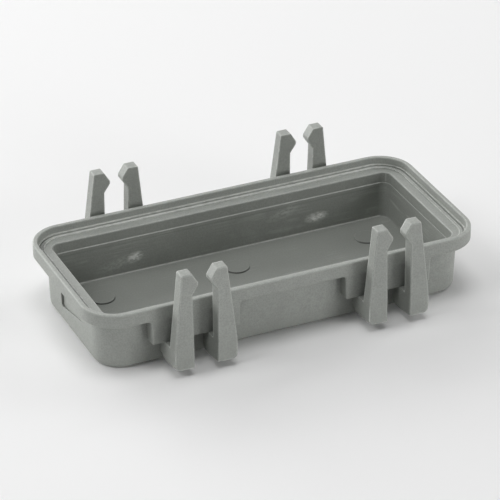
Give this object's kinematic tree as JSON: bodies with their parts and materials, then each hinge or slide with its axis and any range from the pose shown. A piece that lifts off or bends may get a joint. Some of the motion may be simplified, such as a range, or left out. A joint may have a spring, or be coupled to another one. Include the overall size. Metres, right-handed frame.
{
  "type": "connector housing cover",
  "caption": "Clip-on protective cover for a rectangular connector housing: shallow moulded tray with a sealing rim and spring fingers that grip the housing's locking pegs.",
  "frame": {"origin": "middle of the flat underside, on the surface the cover rests on", "axes": "+X along the long side of the tray, +Z out of the open tray, +Y to the far long side"},
  "size_m": [0.0936, 0.0538, 0.0247],
  "materials": {
    "moulded_plastic": "fine moulded matt"
  },
  "bodies": {
    "root": {"connector_cover": "moulded_plastic"}
  },
  "joints": []
}
